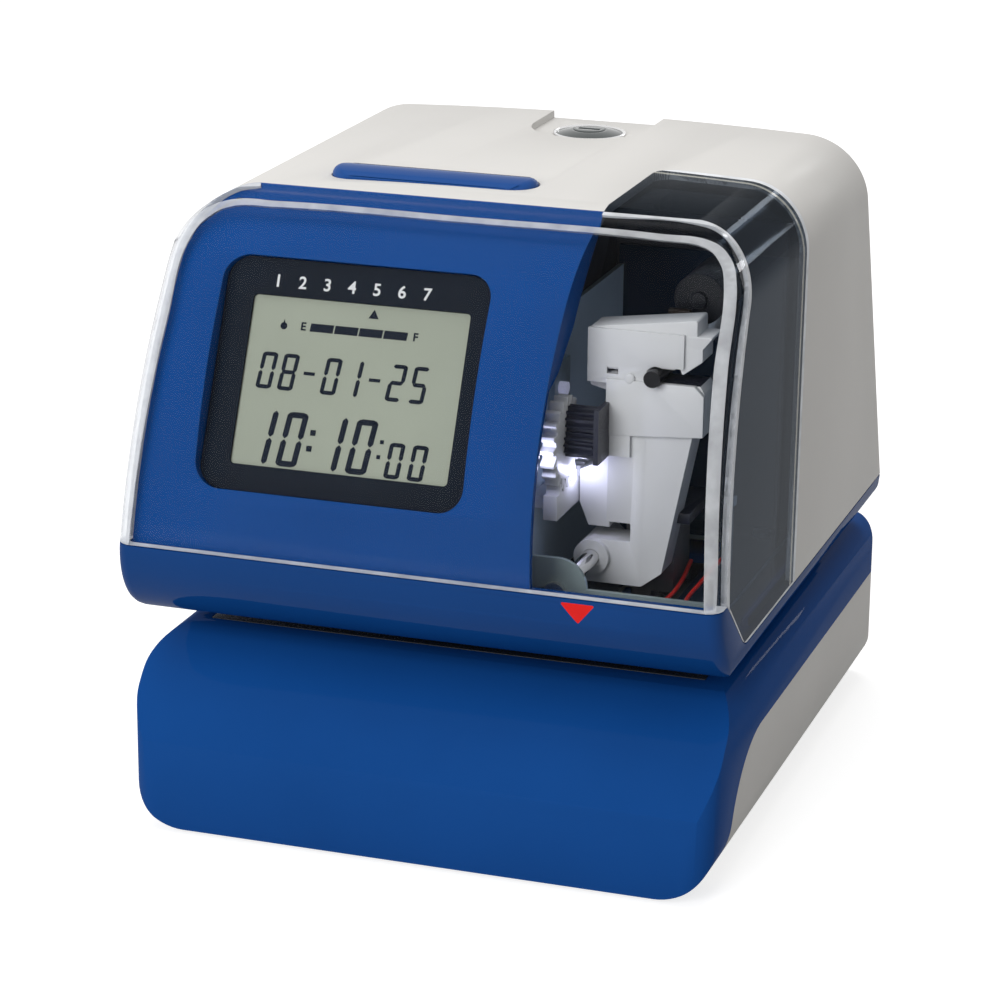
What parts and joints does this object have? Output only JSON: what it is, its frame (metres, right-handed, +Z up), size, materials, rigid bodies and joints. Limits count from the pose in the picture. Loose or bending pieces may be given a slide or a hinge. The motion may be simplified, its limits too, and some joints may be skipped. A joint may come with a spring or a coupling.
{
  "type": "date and time stamp machine",
  "caption": "Desk time stamp with a clear curved visor over a display and a moving print carriage, a press bar and a key lock on top, and a paper throat over a blue base.",
  "frame": {"origin": "bottom centre of the whole machine, on the desk under the middle of its width and depth", "axes": "+Z up, the display and the throat's mouth face -Y, +X to the right seen from the front"},
  "size_m": [0.15, 0.17, 0.1558],
  "materials": {
    "blue_gloss": "gloss moulded blue",
    "pale_grey": "fine matt pale grey",
    "steel_screw": "plain steel",
    "foot_rubber": "matt black rubber",
    "black_plastic": "matt black",
    "transformer_steel": "varnished core with a taped coil",
    "circuit_board": "green solder mask",
    "dark_table": "satin dark",
    "platen_rubber": "smooth black rubber",
    "red_plastic": "gloss red",
    "charcoal_gloss": "gloss charcoal",
    "lcd_grey": "grey-green display glass",
    "zinc_sheet": "zinc plated sheet",
    "grey_button": "matt grey",
    "grey_green_sheet": "dull plated sheet",
    "bright_steel": "ground steel",
    "white_plastic": "plain white moulding",
    "lamp_lens": "clear lamp lens",
    "dark_liner": "matt dark navy",
    "dark_gear": "dark nylon",
    "print_head_metal": "dark cast housing",
    "motor_black": "satin black can",
    "terminal_brown": "dark brown moulding",
    "case_ivory": "fine matt off-white",
    "clear_plastic": "clear acrylic",
    "smoked_plastic": "smoked clear acrylic",
    "spring_steel": "bright spring wire",
    "lock_chrome": "bright chrome"
  },
  "bodies": {
    "stand": {"base_cover": "blue_gloss", "base_bottom_shell": "pale_grey", "base_screws": "steel_screw", "rubber_feet": "foot_rubber", "power_inlet": "black_plastic", "power_transformer": "transformer_steel", "power_board": "circuit_board", "table_plate": "dark_table", "paper_sensor": "black_plastic", "platen": "platen_rubber", "throat_column": "black_plastic", "head_pan": "blue_gloss", "index_triangle": "red_plastic", "face_panel": "blue_gloss", "display_bezel": "charcoal_gloss", "lcd_glass": "lcd_grey", "display_board": "circuit_board", "chassis": "zinc_sheet", "main_board": "circuit_board", "print_switch": "black_plastic", "setting_board": "circuit_board", "mechanism_frame": "grey_green_sheet", "frame_screws": "steel_screw", "guide_shaft": "bright_steel", "guide_rod": "bright_steel", "rack": "white_plastic", "lamp_board": "circuit_board", "lamp": "lamp_lens", "mechanism_liner": "dark_liner", "lock_keeper": "zinc_sheet"},
    "case": {"case_shell": "case_ivory", "clear_visor": "clear_plastic", "side_window": "smoked_plastic", "bar_bridge": "black_plastic", "bar_springs": "spring_steel", "lock_body": "lock_chrome", "lock_nut": "zinc_sheet"},
    "bar": {"print_bar": "blue_gloss"},
    "lock": {"lock_plug": "lock_chrome", "lock_cam": "zinc_sheet"},
    "carriage_group": {"carriage": "white_plastic", "carriage_housing": "white_plastic", "carriage_latch": "white_plastic", "ribbon_cassette": "black_plastic", "print_head": "print_head_metal", "gear_axles": "bright_steel", "motor": "motor_black", "motor_bracket": "zinc_sheet", "motor_terminals": "terminal_brown"},
    "knob": {"ribbon_knob": "dark_gear"},
    "wheel": {"drive_wheel": "white_plastic", "drive_hub": "dark_gear"},
    "pinion": {"motor_pinion": "dark_gear"},
    "button_1": {"setting_button_1": "grey_button"},
    "button_2": {"setting_button_2": "grey_button"},
    "button_3": {"setting_button_3": "grey_button"}
  },
  "joints": [
    {"name": "case_lift", "type": "slide", "parent": "stand", "child": "case", "axis": [0, 0, 1], "range_m": [0, 0.12]},
    {"name": "lock_turn", "type": "hinge", "parent": "case", "child": "lock", "pos_m": [0.001, 0.0475, 0.14], "axis": [0, 0, 1], "range_deg": [0, 90]},
    {"name": "print_bar_press", "type": "slide", "parent": "case", "child": "bar", "axis": [0, 0, -1], "range_m": [0, 0.0015], "stiffness_N_per_m": 400, "springref_m": -0.002, "deforming": ["bar_springs"]},
    {"name": "carriage_slide", "type": "slide", "parent": "stand", "child": "carriage_group", "axis": [0, 1, 0], "range_m": [0, 0.03]},
    {"name": "wheel_spin", "type": "hinge", "parent": "carriage_group", "child": "wheel", "pos_m": [0.025, -0.0545, 0.101], "axis": [1, 0, 0], "range_deg": [-175, 5]},
    {"name": "pinion_spin", "type": "hinge", "parent": "carriage_group", "child": "pinion", "pos_m": [0.0284, -0.0537, 0.10669], "axis": [1, 0, 0], "range_deg": [-5, 190]},
    {"name": "ribbon_knob_turn", "type": "hinge", "parent": "carriage_group", "child": "knob", "pos_m": [0.04085, -0.03185, 0.11086], "axis": [0, 0, 1], "continuous": true},
    {"name": "setting_button_1_press", "type": "slide", "parent": "stand", "child": "button_1", "axis": [0, 0, -1], "range_m": [0, 0.0008], "stiffness_N_per_m": 250, "springref_m": -0.001},
    {"name": "setting_button_2_press", "type": "slide", "parent": "stand", "child": "button_2", "axis": [0, 0, -1], "range_m": [0, 0.0008], "stiffness_N_per_m": 250, "springref_m": -0.001},
    {"name": "setting_button_3_press", "type": "slide", "parent": "stand", "child": "button_3", "axis": [0, 0, -1], "range_m": [0, 0.0008], "stiffness_N_per_m": 250, "springref_m": -0.001}
  ],
  "couplings": [
    {"joint": "wheel_spin", "follows": "carriage_slide", "rad_per_m": -100},
    {"joint": "pinion_spin", "follows": "carriage_slide", "rad_per_m": 109.09}
  ]
}
